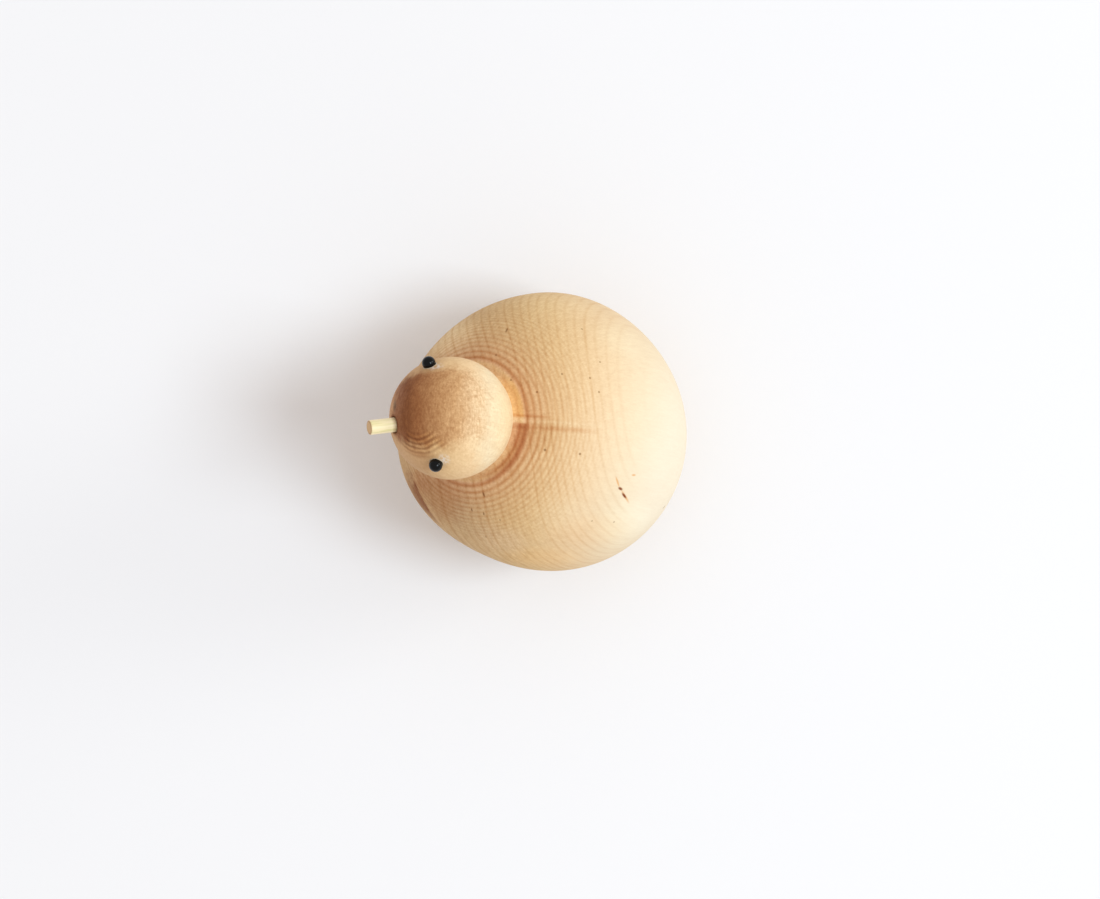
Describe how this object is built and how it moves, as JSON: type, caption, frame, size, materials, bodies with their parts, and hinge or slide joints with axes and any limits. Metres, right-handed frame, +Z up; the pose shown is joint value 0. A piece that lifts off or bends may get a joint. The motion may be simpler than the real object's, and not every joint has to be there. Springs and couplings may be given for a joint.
{
  "type": "wooden bird figurine",
  "caption": "Small turned wooden bird with a round body, a ball head on a forward-leaning axis, a short skewer beak and glossy bead eyes, standing on a flat cut under the body.",
  "frame": {"origin": "middle of the round flat that the bird stands on", "axes": "+Z up, away from the flat; -X the way the bird looks; -Y the bird's left side"},
  "size_m": [0.0722, 0.0653, 0.0783],
  "materials": {
    "turned_wood": "satin",
    "bamboo": "matte",
    "bead": "gloss",
    "glue": "satin"
  },
  "bodies": {
    "root": {"body": "turned_wood", "beak": "bamboo", "left_eye": "bead", "right_eye": "bead"}
  },
  "joints": []
}
